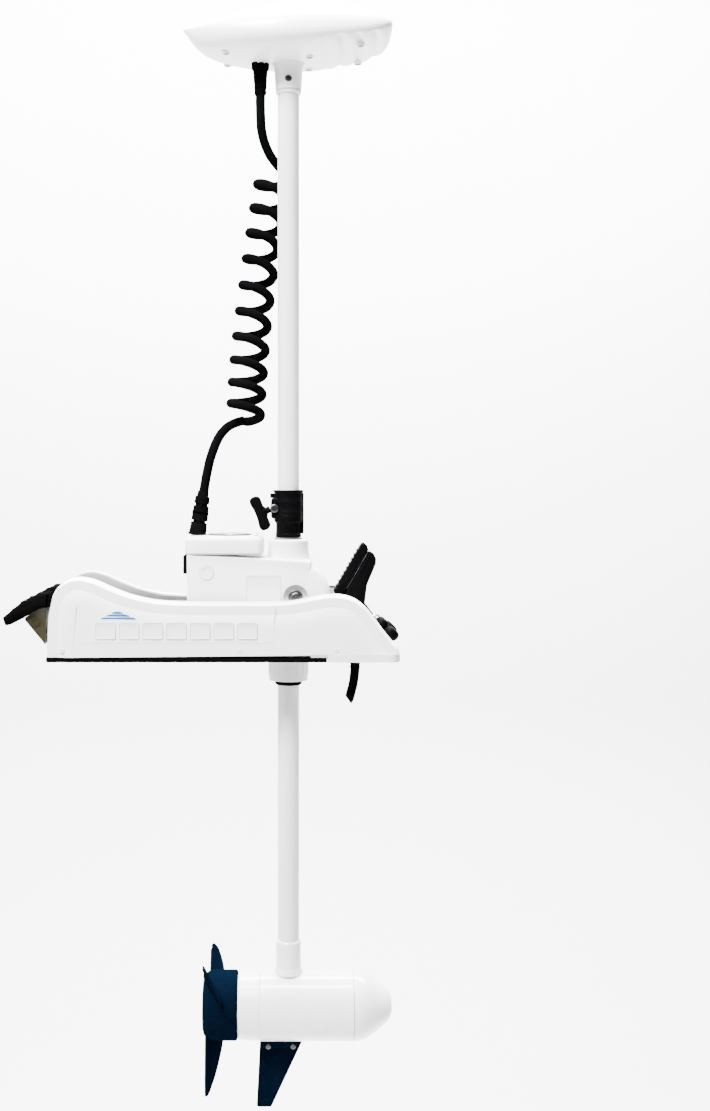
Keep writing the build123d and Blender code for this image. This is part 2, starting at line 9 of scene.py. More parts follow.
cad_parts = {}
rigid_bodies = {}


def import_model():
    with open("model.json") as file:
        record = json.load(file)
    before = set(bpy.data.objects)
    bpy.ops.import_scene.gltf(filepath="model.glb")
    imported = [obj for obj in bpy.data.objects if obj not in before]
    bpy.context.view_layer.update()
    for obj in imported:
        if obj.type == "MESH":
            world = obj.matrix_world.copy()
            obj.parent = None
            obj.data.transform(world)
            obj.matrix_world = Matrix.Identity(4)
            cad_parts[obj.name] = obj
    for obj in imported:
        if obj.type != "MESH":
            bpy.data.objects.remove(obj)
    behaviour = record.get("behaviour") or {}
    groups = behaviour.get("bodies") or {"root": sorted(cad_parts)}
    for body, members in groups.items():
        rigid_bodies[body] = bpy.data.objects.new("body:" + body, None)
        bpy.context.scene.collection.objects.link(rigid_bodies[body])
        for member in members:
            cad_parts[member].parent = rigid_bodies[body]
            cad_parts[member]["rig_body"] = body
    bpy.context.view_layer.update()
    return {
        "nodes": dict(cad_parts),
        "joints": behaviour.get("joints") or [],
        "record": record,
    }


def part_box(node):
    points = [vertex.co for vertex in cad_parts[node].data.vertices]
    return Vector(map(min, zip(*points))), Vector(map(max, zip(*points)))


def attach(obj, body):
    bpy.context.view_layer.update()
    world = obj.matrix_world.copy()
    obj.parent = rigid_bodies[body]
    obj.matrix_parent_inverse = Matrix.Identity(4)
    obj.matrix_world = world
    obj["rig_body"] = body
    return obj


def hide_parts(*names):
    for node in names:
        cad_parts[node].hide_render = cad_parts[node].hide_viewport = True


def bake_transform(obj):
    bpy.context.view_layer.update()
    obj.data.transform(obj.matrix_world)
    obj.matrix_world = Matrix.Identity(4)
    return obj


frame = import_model()
nodes = frame["nodes"]

# ---- Places read from the frame, in millimetres; MM turns them into metres ----
MM = 0.001


def span(node, axis):
    """The two ends of a CAD node's box along one axis."""
    low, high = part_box(node)
    return low[axis] / MM, high[axis] / MM


def middle(node, axis):
    return sum(span(node, axis)) / 2


joints = {j["name"]: j for j in frame["joints"]}
AXIS_X = middle("shaft_tube", 0)
SHAFT_R = (span("shaft_tube", 1)[1] - span("shaft_tube", 1)[0]) / 2
POD_Z = middle("motor_bearings", 2)
POD_R = (span("pod_tube", 1)[1] - span("pod_tube", 1)[0]) / 2
PIVOT_X = joints["tilt"]["pos_m"][0] / MM - AXIS_X
PIVOT_Z = joints["tilt"]["pos_m"][2] / MM
HALF_WIDTH = span("side_cover_far", 1)[1]
COVER_INNER = span("side_cover_far", 1)[0]
HOUSING_HALF = span("housing_shell_far", 1)[1]
LID_TOP = span("housing_lid", 2)[1]

# ---- Camera: level, straight on, 1.8 m from the shaft ----
EYE_DISTANCE = 1800.0
EYE_Z = 246.0
FOCAL_LENGTH = 44.878488
SENSOR = 36.0
LENS_SHIFT = (0.0599, -0.0815)
FAR_LIMIT_M = 50.0
camera_data = bpy.data.cameras.new("camera")
camera = bpy.data.objects.new("camera", camera_data)
bpy.context.scene.collection.objects.link(camera)
bpy.context.scene.camera = camera
camera.location = (AXIS_X * MM, -EYE_DISTANCE * MM, EYE_Z * MM)
camera.rotation_euler = (math.radians(90), 0, 0)
camera_data.sensor_width = SENSOR
camera_data.lens = FOCAL_LENGTH
camera_data.shift_x, camera_data.shift_y = LENS_SHIFT
camera_data.clip_end = FAR_LIMIT_M


# ---- Materials ----
class Surface:
    """A Principled material whose colour, roughness and relief come from noise in the object's own space."""

    def __init__(self, name, colour, rough, metallic=0.0, coat=0.0, specular=0.5):
        self.material = bpy.data.materials.new(name)
        self.material.use_nodes = True
        self.tree = self.material.node_tree
        self.shader = self.tree.nodes["Principled BSDF"]
        self.colour, self.rough = colour, rough
        self.shader.inputs["Metallic"].default_value = metallic
        self.shader.inputs["Coat Weight"].default_value = coat
        self.shader.inputs["Coat Roughness"].default_value = 0.12
        self.shader.inputs["Specular IOR Level"].default_value = specular
        self.place = self.add("ShaderNodeTexCoord").outputs["Object"]

    def add(self, kind, **settings):
        node = self.tree.nodes.new(kind)
        for key, value in settings.items():
            setattr(node, key, value)
        return node

    def link(self, a, b):
        self.tree.links.new(a, b)

    def noise(self, scale, detail=3.0, stretch=(1, 1, 1)):
        mapping = self.add("ShaderNodeMapping")
        mapping.inputs["Scale"].default_value = stretch
        self.link(self.place, mapping.inputs["Vector"])
        node = self.add("ShaderNodeTexNoise")
        node.inputs["Scale"].default_value = scale
        node.inputs["Detail"].default_value = detail
        self.link(mapping.outputs["Vector"], node.inputs["Vector"])
        return node.outputs["Fac"]

    def vary_colour(self, scale, darker, stretch=(1, 1, 1)):
        ramp = self.add("ShaderNodeValToRGB")
        low, high = ramp.color_ramp.elements
        low.position, high.position = 0.3, 0.72
        low.color = (*[c * darker for c in self.colour], 1)
        high.color = (*self.colour, 1)
        self.link(self.noise(scale, 4, stretch), ramp.inputs["Fac"])
        self.link(ramp.outputs["Color"], self.shader.inputs["Base Color"])
        return self

    def vary_rough(self, scale, amount, stretch=(1, 1, 1)):
        spread = self.add("ShaderNodeMapRange")
        spread.inputs["To Min"].default_value = max(0.02, self.rough - amount)
        spread.inputs["To Max"].default_value = self.rough + amount
        self.link(self.noise(scale, 3, stretch), spread.inputs["Value"])
        self.link(spread.outputs["Result"], self.shader.inputs["Roughness"])
        return self

    def relief(self, scale, depth_mm, stretch=(1, 1, 1)):
        bump = self.add("ShaderNodeBump")
        bump.inputs["Strength"].default_value = 0.6
        bump.inputs["Distance"].default_value = depth_mm * MM
        self.link(self.noise(scale, 4, stretch), bump.inputs["Height"])
        self.link(bump.outputs["Normal"], self.shader.inputs["Normal"])
        return self


def finish(name, colour, rough, grain, depth, darker=0.93, metallic=0.0, coat=0.0, stretch=(1, 1, 1),
           specular=0.5):
    surface = Surface(name, colour, rough, metallic, coat, specular)
    surface.vary_colour(14, darker).vary_rough(60, rough * 0.18, stretch).relief(grain, depth, stretch)
    return surface.material


WHITE = finish("white_plastic", (0.82, 0.82, 0.815), 0.34, 900, 0.03, 0.975, coat=0.25)
WHITE_METAL = finish("white_coat", (0.74, 0.745, 0.75), 0.3, 500, 0.03, 0.96, coat=0.3)
SHAFT_WHITE = finish("shaft_coat", (0.70, 0.705, 0.715), 0.32, 700, 0.02, 0.97, coat=0.2, stretch=(1, 1, 0.1))
POD_WHITE = finish("pod_coat", (0.8, 0.8, 0.805), 0.27, 600, 0.02, 0.975, coat=0.4)
# seam_shade_grey is a mid grey painted as the shade in narrow seams: the rims round the cover plates, the
# panel seam and the ring round the badge.
SEAM_SHADE = finish("seam_shade_grey", (0.5, 0.5, 0.5), 0.5, 900, 0.03, 0.9)
# groove_shade_grey is a darker grey painted as the shade in grooves and gaps: under the lid's edge, in the
# neck's groove and under the covers at the bow.
GROOVE_SHADE = finish("groove_shade_grey", (0.42, 0.42, 0.42), 0.5, 900, 0.03, 0.9)
BLACK = finish("black_plastic", (0.0018, 0.0018, 0.002), 0.4, 1400, 0.06, 0.6, specular=0.012)
RUBBER = finish("black_rubber", (0.002, 0.002, 0.002), 0.6, 1000, 0.08, 0.6, specular=0.0)
CORD = finish("cord_jacket", (0.0022, 0.0022, 0.0024), 0.5, 700, 0.06, 0.6, specular=0.0)
NAVY = finish("navy_plastic", (0.0009, 0.0032, 0.0085), 0.4, 800, 0.05, 0.7, specular=0.0)
DARK_STEEL = finish("dark_steel", (0.09, 0.09, 0.09), 0.35, 300, 0.02, 0.8, metallic=1.0)
STEEL = finish("steel", (0.34, 0.34, 0.345), 0.3, 300, 0.02, 0.8, metallic=1.0, stretch=(1, 1, 12))
ALUMINIUM = finish("aluminium", (0.6, 0.61, 0.62), 0.36, 220, 0.03, 0.9, metallic=1.0, stretch=(0.08, 1, 1))
BRONZE = finish("bronze", (0.55, 0.38, 0.16), 0.35, 300, 0.03, 0.85, metallic=1.0)
IRON = finish("iron", (0.12, 0.12, 0.125), 0.5, 500, 0.1, 0.8, metallic=0.8, stretch=(14, 1, 1))
NYLON = finish("nylon", (0.7, 0.68, 0.6), 0.5, 600, 0.04, 0.92)
BOARD = finish("board", (0.01, 0.09, 0.04), 0.4, 500, 0.05, 0.7)
LENS = finish("lens_grey", (0.07, 0.075, 0.08), 0.2, 300, 0.02, 0.7, specular=0.4)
TINTED = finish("tinted_plastic", (0.03, 0.027, 0.014), 0.22, 260, 0.05, 0.55, specular=0.2)
BLUE = finish("blue_print", (0.004, 0.1, 0.36), 0.35, 900, 0.01, 0.85)

SLOT_FINISH = {
    "white_plastic": WHITE, "white_metal": WHITE_METAL, "rail_metal": ALUMINIUM, "black_plastic": BLACK,
    "black_rubber": RUBBER, "tinted_plastic": TINTED, "steel": STEEL, "navy_plastic": NAVY,
    "shaft_white": SHAFT_WHITE, "pod_white": POD_WHITE, "lens": LENS, "brass": BRONZE, "nylon": NYLON,
    "board": BOARD, "iron": IRON, "cord": CORD,
}
NODE_SLOT = {s["node"]: s["material_slot"] for s in frame["record"]["subparts"]}
for node, item in nodes.items():
    for place in item.material_slots:
        place.material = SLOT_FINISH[NODE_SLOT[node]]


# ---- Mesh making; every shape is drawn in millimetres about the shaft axis ----
def piece(name, points, faces, material, body, stands_for=(), smooth_deg=38.0):
    """A mesh piece that rides on a body and may stand for CAD nodes."""
    mesh = bpy.data.meshes.new(name)
    mesh.from_pydata([((x + AXIS_X) * MM, y * MM, z * MM) for x, y, z in points], [], faces)
    mesh.validate()
    bm = bmesh.new()
    bm.from_mesh(mesh)
    bmesh.ops.remove_doubles(bm, verts=bm.verts, dist=1e-6)
    bmesh.ops.recalc_face_normals(bm, faces=bm.faces)
    bm.to_mesh(mesh)
    bm.free()
    mesh.polygons.foreach_set("use_smooth", [True] * len(mesh.polygons))
    mesh.set_sharp_from_angle(angle=math.radians(smooth_deg))
    mesh.materials.append(material)
    item = bpy.data.objects.new(name, mesh)
    bpy.context.scene.collection.objects.link(item)
    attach(item, body)
    if stands_for:
        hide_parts(*([stands_for] if isinstance(stands_for, str) else stands_for))
    return item


def ring_faces(rings, count, closed=False):
    """Quads between rings of equal length."""
    faces = []
    for k in range(rings if closed else rings - 1):
        after = (k + 1) % rings
        for i in range(count):
            j = (i + 1) % count
            faces.append((k * count + i, k * count + j, after * count + j, after * count + i))
    return faces


def skinned(points, rings):
    """A solid from rings of equal length: quads along the side and a face over each end."""
    count = len(points) // rings
    ends = [tuple(range(count)), tuple(range(len(points) - count, len(points)))]
    return points, ring_faces(rings, count) + ends


def turned_mesh(profile, axis, centre, segments=96):
    """Points and faces of a (along, radius) profile turned about an axis, closed at both ends."""
    points = []
    for along, r in profile:
        for i in range(segments):
            a = 2 * math.pi * i / segments
            u, v = r * math.cos(a), r * math.sin(a)
            offset = {"x": (along, u, v), "y": (u, along, v), "z": (u, v, along)}[axis]
            points.append(tuple(c + o for c, o in zip(centre, offset)))
    return skinned(points, len(profile))


def tube_mesh(profile, axis, centre, segments=96):
    """A closed (along, radius) profile turned about an axis: a ring with a hole."""
    points, _ = turned_mesh(profile, axis, centre, segments)
    return points, ring_faces(len(profile), segments, closed=True)


def join(*meshes):
    """Several meshes as one."""
    points, faces = [], []
    for more_points, more_faces in meshes:
        start = len(points)
        points += more_points
        faces += [tuple(i + start for i in face) for face in more_faces]
    return points, faces


def curve_through(controls, per_run=8, closed=False):
    """A smooth line through control points, in any number of dimensions."""
    p = np.array(controls, float)
    n = len(p)
    out = []
    for i in range(n if closed else n - 1):
        if closed:
            a, b, c, d = (p[(i + k) % n] for k in (-1, 0, 1, 2))
        else:
            a, b, c, d = p[max(i - 1, 0)], p[i], p[i + 1], p[min(i + 2, n - 1)]
        for t in np.linspace(0, 1, per_run, endpoint=False):
            out.append(0.5 * (2 * b + (c - a) * t + (2 * a - 5 * b + 4 * c - d) * t**2
                              + (3 * b - a - 3 * c + d) * t**3))
    if not closed:
        out.append(p[-1])
    return [tuple(q) for q in out]


def rounded(corners, radii, steps=6):
    """A closed outline whose corners are arcs."""
    out = []
    n = len(corners)
    if not hasattr(radii, "__len__"):
        radii = [radii] * n
    for i in range(n):
        before, here, after = (np.array(corners[(i + k) % n], float) for k in (-1, 0, 1))
        a, b = before - here, after - here
        la, lb = np.linalg.norm(a), np.linalg.norm(b)
        a, b = a / la, b / lb
        half = math.acos(np.clip(a @ b, -1, 1)) / 2
        back = min(radii[i] / math.tan(half), la * 0.48, lb * 0.48)
        if back < 0.05:
            out.append(tuple(here))
            continue
        for t in np.linspace(0, 1, steps):
            p, q = here + a * back, here + b * back
            out.append(tuple((1 - t) ** 2 * p + 2 * t * (1 - t) * here + t**2 * q))
    return out


def inset_outline(outline, amount):
    """A closed outline moved inwards, corner by corner."""
    p = np.array(outline, float)
    area = np.sum(p[:, 0] * np.roll(p[:, 1], -1) - np.roll(p[:, 0], -1) * p[:, 1])
    edge = np.roll(p, -1, axis=0) - p
    edge /= np.maximum(np.linalg.norm(edge, axis=1)[:, None], 1e-9)
    normal = np.stack([-edge[:, 1], edge[:, 0]], axis=1) * (1 if area > 0 else -1)
    both = normal + np.roll(normal, 1, axis=0)
    both /= np.maximum((both * both).sum(1)[:, None] / 2, 0.35)
    return p + both * amount


def slab(outline, low, high, axis="y", round_low=0.0, round_high=0.0, steps=6):
    """An outline extruded along an axis, with rounded rims."""
    rings = []
    if round_low:
        for a in np.linspace(0, math.pi / 2, steps):
            rings.append((round_low * (1 - math.sin(a)), low + round_low * (1 - math.cos(a))))
    else:
        rings.append((0, low))
    if round_high:
        for a in np.linspace(math.pi / 2, 0, steps):
            rings.append((round_high * (1 - math.sin(a)), high - round_high * (1 - math.cos(a))))
    else:
        rings.append((0, high))
    points = []
    for inset, w in rings:
        for u, v in inset_outline(outline, inset):
            points.append({"x": (w, u, v), "y": (u, w, v), "z": (u, v, w)}[axis])
    return skinned(points, len(rings))


def moved(mesh, by):
    """A mesh shifted by a vector."""
    return [tuple(a + b for a, b in zip(p, by)) for p in mesh[0]], mesh[1]


def turned_by(mesh, axis, degrees, about=(0, 0, 0)):
    """A mesh turned about a line along an axis through a point."""
    rotation = Matrix.Rotation(math.radians(degrees), 3, axis)
    centre = Vector(about)
    return [tuple(rotation @ (Vector(p) - centre) + centre) for p in mesh[0]], mesh[1]


def box_mesh(x, y, z, r=0.0):
    """A box from three (low, high) pairs, its upright edges rounded by r."""
    corners = [(x[0], y[0]), (x[1], y[0]), (x[1], y[1]), (x[0], y[1])]
    outline = rounded(corners, r) if r else corners
    return slab(outline, z[0], z[1], "z")


def screw_head(centre, r, height, axis, deep=0.8):
    """A round head with a domed rim and a sunk middle, facing along +axis or -axis by the height's sign."""
    h = height
    s = 1 if h > 0 else -1
    profile = [
        (0, r), (h * 0.55, r), (h * 0.85, r * 0.93), (h, r * 0.78), (h, r * 0.45), (h - s * deep, r * 0.36),
        (h - s * deep, 0.02),
    ]
    return turned_mesh(profile, axis, centre, 32)


# ---- Side covers: a smooth outline in side view with a broad round shoulder ----
COVER_TOP = [
    (-303, -30), (-303, 34), (-300.5, 66), (-292, 89), (-278, 101), (-262, 104.5), (-244, 101), (-222, 91.5),
    (-198, 82.5), (-169, 76), (-140, 73.8), (-100, 73.2), (-50, 73.2), (-8, 73.6), (20, 77.5), (43, 82),
    (62, 82.8), (80, 79), (95, 69), (107, 55), (118, 40), (129, 26), (139.5, 12), (139.8, -30),
]
NOTCH_X = (52.0, 122.0)  # the foot pedal stands in a notch in the far cover
NOTCH_Y = 71.0
COVER_ROUND = 17.0
COVER_FALL = 34.0
COVER_WALL = 3.0
FOOT_Z = 6.0
BOW_FOOT_Z = 9.4
BOW_FOOT_X = 48.0


def cover_mesh(side):
    """One open-backed side cover; the far one gives way to the foot pedal."""
    outline = curve_through(COVER_TOP, 5)
    rings = [(COVER_WALL, HALF_WIDTH - COVER_WALL), (COVER_WALL, COVER_INNER + 1.0), (0.8, COVER_INNER)]
    rings.append((0.0, COVER_INNER + 1.0))
    for a in np.linspace(0, math.pi / 2, 19):
        rings.append((COVER_FALL * (1 - math.cos(a)), HALF_WIDTH - COVER_ROUND * (1 - math.sin(a))))
    points = []
    for inset, y in rings:
        for x, z in inset_outline(outline, inset):
            foot = FOOT_Z if x < BOW_FOOT_X else BOW_FOOT_Z
            in_notch = side > 0 and NOTCH_X[0] < x < NOTCH_X[1]
            points.append((x, (max(y, NOTCH_Y) if in_notch else y) * side, max(z, foot)))
    return skinned(points, len(rings))


MARK_X = (-240.0, -34.0)
MARK_Z = (29.5, 49.0)
MARK_PLATES = 7
STRIPE_Z = (54.0, 65.0)


def cover_marks(side):
    """The outer face's relief: a fine frame, and a row of plain raised plates in place of lettering."""
    face = HALF_WIDTH * side
    out = 0.8 * side
    meshes, rims = [], []
    pitch = (MARK_X[1] - MARK_X[0]) / MARK_PLATES
    for i in range(MARK_PLATES):
        x0 = MARK_X[0] + i * pitch
        outer = rounded([(x0, MARK_Z[0]), (x0 + pitch - 5, MARK_Z[0]), (x0 + pitch - 5, MARK_Z[1]),
                         (x0, MARK_Z[1])], 2.5)
        # a grey rim a little larger than each plate, at its foot: painted shade in the crease around the plate
        rims.append(slab(inset_outline(outer, -0.7), face - out, face + 0.3 * side, "y"))
        meshes.append(slab(outer, face - out, face + out, "y", round_high=0.45, steps=4))
    frame_x, frame_z = (MARK_X[0] - 20, MARK_X[1] + 16), (MARK_Z[0] - 5, MARK_Z[1] + 22)
    for x in frame_x:
        meshes.append(box_mesh((x - 0.35, x + 0.35), sorted((face - out, face + out * 0.35)), frame_z))
    meshes.append(box_mesh(frame_x, sorted((face - out, face + out * 0.35)), (frame_z[0], frame_z[0] + 0.7)))
    return join(*meshes), join(*rims)


def side_covers():
    """Both covers with their plates, grey rims painted as the shade around the plates, and generic stripes."""
    for side, name in ((-1, "near"), (1, "far")):
        piece(f"cover_{name}", *cover_mesh(side), WHITE, "base", f"side_cover_{name}")
        marks, rims = cover_marks(side)
        piece(f"cover_marks_{name}", *marks, WHITE_METAL, "base")
        piece(f"cover_mark_shade_rims_{name}", *rims, SEAM_SHADE, "base")
        stripes = []
        for k in range(3):
            z = STRIPE_Z[0] + k * 3.6
            left, right = MARK_X[0] + 4 + 7 * k, MARK_X[0] + 52 - 8 * k
            stripe = rounded([(left, z), (right, z), (right - 6, z + 2.2), (left + 6, z + 2.2)], 0.9)
            stripes.append(slab(stripe, (HALF_WIDTH - 0.5) * side, (HALF_WIDTH + 0.25) * side, "y"))
        piece(f"cover_stripes_{name}", *join(*stripes), BLUE, "base")


# ---- Housing ----
HOUSING_REAR = span("housing_shell_near", 0)[0] - AXIS_X
HOUSING_TOP = span("housing_lid", 2)[0]
SHOULDER_R = 45.0
BOSS_R = 26.2
BOSS_TOP = span("housing_shell_near", 2)[1]


def housing_outline(inset, shoulder_inset):
    """The housing in side view: straight rear and top, and a round shoulder about the tilt pivot."""
    rear = HOUSING_REAR + inset
    points = [(rear, 56), (rear, HOUSING_TOP - 0.4 - inset), (PIVOT_X + 20, HOUSING_TOP - 9 - inset)]
    r = SHOULDER_R - shoulder_inset
    for a in np.linspace(62, -100, 28):
        points.append((PIVOT_X + r * math.cos(math.radians(a)), PIVOT_Z + r * math.sin(math.radians(a))))
    points += [(-90, 36 + inset)]
    corner = {0: 3.0, 1: 3.0, 2: 12.0, len(points) - 1: 6.0}
    return rounded(points, [corner.get(i, 0.0) for i in range(len(points))], 5)


def housing_half(side):
    """One half of the steering housing: softly edged at the rear, fully rounded over the shoulder."""
    face = HOUSING_HALF - 0.9
    rings = [(0.0, 0.15)]
    for a in np.linspace(0, math.pi / 2, 9):
        rings.append((1 - math.cos(a), face - 10 * (1 - math.sin(a))))
    points = []
    for give, y in rings:
        points += [(x, y * side, z) for x, z in housing_outline(2.6 * give, 12.0 * give)]
    return skinned(points, len(rings))


def boss_mesh():
    """The round boss about the shaft, flowing into the shoulder below."""
    flow = [(96, 33.0), (112, 32.6), (119, 31.0), (124.5, 28.6), (129, 27.0), (134, BOSS_R),
            (BOSS_TOP - 3.4, BOSS_R)]
    for a in np.linspace(0, math.pi / 2, 6):
        flow.append((BOSS_TOP - 3.2 * (1 - math.sin(a)), BOSS_R - 3.2 * (1 - math.cos(a))))
    flow += [(BOSS_TOP, 19.6), (140, 19.6), (96, 19.6)]
    return tube_mesh(flow, "z", (0, 0, 0))


BADGE_AT = (-104.2, 108.3)
BADGE_R = 9.0
LENS_X = -76.0


def housing_side(side, name):
    """A shell half with its access panel and the round badge, with grey rings painted as the shade in the
    seams about them.
    """
    piece(f"housing_{name}", *housing_half(side), WHITE, "steering_unit", f"housing_shell_{name}")
    sunk = (HOUSING_HALF - 1.5) * side
    panel = rounded([(-53.5, 62), (-9.8, 62), (-9.8, 104.5), (-53.5, 104.5)], [1, 1, 4, 4])
    plate = slab(panel, sunk, (HOUSING_HALF - 0.1) * side, "y", round_high=0.5, steps=3)
    # the grey ring round the panel and the one round the badge are painted shade in the seams
    seam = slab(inset_outline(panel, -0.7), sunk, (HOUSING_HALF - 0.8) * side, "y")
    badge_at = (BADGE_AT[0], (HOUSING_HALF - 1.4) * side, BADGE_AT[1])
    badge_gap_profile = [(0, BADGE_R), (0.75 * side, BADGE_R), (0.75 * side, BADGE_R + 0.7), (0, BADGE_R + 0.7)]
    badge_shade_ring = tube_mesh(badge_gap_profile, "y", badge_at, 48)
    piece(f"panel_seam_shade_{name}", *join(seam, badge_shade_ring), SEAM_SHADE, "steering_unit")
    ring_profile = [(0, 6.6), (1.3, 6.9), (1.5, 7.4), (1.5, 8.2), (1.3, 8.7), (0, BADGE_R)]
    badge = tube_mesh([(h * side, r) for h, r in ring_profile], "y", badge_at, 48)
    dish_profile = [(0, 6.6), (0.7 * side, 6.4), (0.85 * side, 4.0), (0.6 * side, 0.05)]
    dish = turned_mesh(dish_profile, "y", badge_at, 48)
    piece(f"housing_panel_{name}", *join(plate, badge, dish), WHITE, "steering_unit")


def housing_lid():
    """The lid with its screws, a grey band painted as the shade in the gap under the lid's edge, and the round
    dark lens with pale marks.
    """
    lid_outline = rounded([(-132.5, -37.5), (-31.5, -37.5), (-31.5, 37.5), (-132.5, 37.5)], 13, 9)
    skirt = slab(lid_outline, HOUSING_TOP, LID_TOP, "z", round_low=0.8, round_high=7.0, steps=8)
    rim_profile = [(0, 28.2), (0.3, 28.6), (0.5, 29.8), (0.4, 31.0), (0, 32.6)]
    rim = tube_mesh(rim_profile, "z", (LENS_X, 0, LID_TOP - 0.1))
    piece("lid", *join(skirt, rim), WHITE, "steering_unit", "housing_lid")
    # a grey band set in under the lid's edge: painted shade in the gap between lid and housing
    step_outline = rounded([(-131.2, -36.3), (-33, -36.3), (-33, 36.3), (-131.2, 36.3)], 12, 8)
    piece("lid_gap_shade", *slab(step_outline, HOUSING_TOP - 1.6, HOUSING_TOP + 1, "z"), GROOVE_SHADE, "steering_unit")
    screws = [screw_head((x, y, LID_TOP - 0.6), 3.0, 1.5, "z") for x in (-123, -41) for y in (-28, 28)]
    piece("lid_screws", *join(*screws), STEEL, "steering_unit")
    dial_profile = [(0, 27.8), (1.9, 27.8), (2.5, 27.2), (2.6, 25.0), (2.6, 0.05)]
    dial = turned_mesh(dial_profile, "z", (LENS_X, 0, LID_TOP - 0.2), 64)
    piece("lens_dial", *dial, LENS, "steering_unit")
    bar = box_mesh((LENS_X - 0.8, LENS_X + 0.8), (15, 24), (LID_TOP + 2.2, LID_TOP + 2.8), 0.5)
    bars = [turned_by(bar, "Z", a, (LENS_X, 0, 0)) for a in range(0, 360, 30)]
    piece("lens_marks", *join(*bars), WHITE_METAL, "steering_unit")


def port_plug():
    """The rubber plug on the housing's rear, with five grip bars."""
    outline = rounded([(-22, 106), (22, 106), (22, 129), (-22, 129)], 2)
    plug = slab(outline, HOUSING_REAR + 1, HOUSING_REAR - 4.2, "x", round_high=1.0, steps=4)
    grips = []
    for z in (110, 113, 116, 119, 122):
        grips.append(box_mesh((HOUSING_REAR - 4.8, HOUSING_REAR - 4), (-18, 18), (z, z + 1.2)))
    piece("plug", *join(plug, *grips), RUBBER, "steering_unit", "port_plug")


def housing():
    housing_side(-1, "near")
    housing_side(1, "far")
    piece("housing_boss", *boss_mesh(), WHITE, "steering_unit")
    neck = tube_mesh([(40, 23), (-1.5, 23), (-9, 22.6), (-9, 18.8), (40, 18.8)], "z", (0, 0, 0))
    piece("housing_neck", *neck, WHITE, "steering_unit")
    housing_lid()
    port_plug()


# ---- Cord fittings ----
def leaning(mesh, foot, head):
    """A mesh drawn upright from the origin, set on the line from foot to head."""
    axis = Vector(head) - Vector(foot)
    turn = Vector((0, 0, 1)).rotation_difference(axis.normalized()).to_matrix()
    return [tuple(turn @ Vector(p) + Vector(foot)) for p in mesh[0]], mesh[1]


def strain_relief():
    """The ribbed rubber sleeve that leans off the lid where the cord enters."""
    foot = (-118.4, 0, LID_TOP + 0.05)
    head = (-111.2, 0, LID_TOP + 52)
    profile = [(0, 11.6), (1.2, 12.2), (2.6, 12.2), (3.4, 11.2), (15.5, 10.6), (16.3, 10.0), (16.5, 8.2)]
    for start, r in ((19.0, 10.7), (30.0, 10.2), (41.0, 9.7)):
        tall = 8.2 if start < 40 else 9.6
        profile += [(start, 8.0), (start + 0.2, r - 0.5), (start + 0.8, r), (start + tall - 0.8, r - 0.3),
                    (start + tall - 0.1, r - 1.0), (start + tall, 7.8)]
    profile += [(51.4, 7.4), (57.0, 7.1), (57.6, 6.6), (57.6, 0.1)]
    sleeve = turned_mesh(profile, "z", (0, 0, 0), 48)
    bridges = []
    for along, spin in ((17.8, 0), (28.6, 90), (39.6, 0)):
        for side in (-1, 1):
            bridge = box_mesh((-2.0, 2.0), (side * 9.0 - 1.6, side * 9.0 + 1.6),
                              (along - 2.4, along + 2.4), 0.8)
            bridges.append(turned_by(bridge, "Z", spin))
    mesh = leaning(join(sleeve, *bridges), foot, head)
    piece("strain_relief", *mesh, RUBBER, "steering_unit", "cord_strain_relief")


def gland():
    """The stepped rubber gland under the control head."""
    profile = [(726.6, 5.9), (726.8, 7.2), (728.5, 7.8), (733, 7.9), (733.6, 7.4), (734.4, 7.4),
               (735, 8.1), (740, 8.3), (740.6, 7.8), (741.4, 7.8), (742, 8.6), (747, 8.8), (747.6, 8.3),
               (748.4, 8.3), (749, 9.1), (758.5, 9.6), (759.4, 11.0), (763, 11.6), (769, 11.6)]
    piece("gland", *turned_mesh(profile, "z", (-36.5, 0, 0), 56), RUBBER, "shaft_unit", "head_gland")


# ---- Depth collar and its knob ----
COLLAR_FOOT, COLLAR_TOP = span("depth_collar", 2)
COLLAR_R = 18.6
KNOB_Z = 190.0
KNOB_TURN = -112.0


def collar():
    """The banded collar with its rib and clamping lug, and the bolt across the lug."""
    r = COLLAR_R
    inner = SHAFT_R + 0.15
    profile = [(COLLAR_FOOT, inner), (COLLAR_FOOT, 16.0), (COLLAR_FOOT + 0.6, 16.5), (COLLAR_FOOT + 4, 16.7),
               (COLLAR_FOOT + 4.6, 16.2), (169, 16.2), (171, 16.6), (172.5, 18.0), (174, r), (181, r),
               (182, r - 0.5), (183, r + 0.2), (185.5, r + 0.2), (186.5, r - 0.3), (196, r - 0.3),
               (197, r + 0.2), (199.5, r + 0.2), (200.5, r - 0.3), (209, r - 0.3), (210, r + 0.2),
               (211, r + 0.7), (COLLAR_TOP - 0.6, r + 0.8), (COLLAR_TOP, r + 0.3), (COLLAR_TOP, inner)]
    barrel = tube_mesh(profile, "z", (0, 0, 0))
    rib = slab(rounded([(14, -3.4), (19.9, -3.4), (19.9, 3.4), (14, 3.4)], [0, 2, 2, 0]), 157, 210, "z",
               round_low=1.5, round_high=1.5, steps=4)
    lug = slab(rounded([(-22.6, 176.5), (-9, 176.5), (-9, 203), (-22.6, 203)], [4, 1, 1, 4]), -12, 12, "y",
               round_low=2.0, round_high=2.0, steps=5)
    slot_line = box_mesh((-24, -12), (-0.8, 0.8), (203, 209))
    piece("collar", *join(barrel, rib, lug, slot_line), BLACK, "drive_sleeve", "depth_collar")
    head = screw_head((-18, -12, KNOB_Z), 5.6, -3.0, "y", 1.0)
    slot = box_mesh((-21.8, -14.2), (-15.2, -14.4), (KNOB_Z - 0.7, KNOB_Z + 0.7))
    piece("collar_bolt", *join(head, slot), DARK_STEEL, "drive_sleeve", "collar_screw")


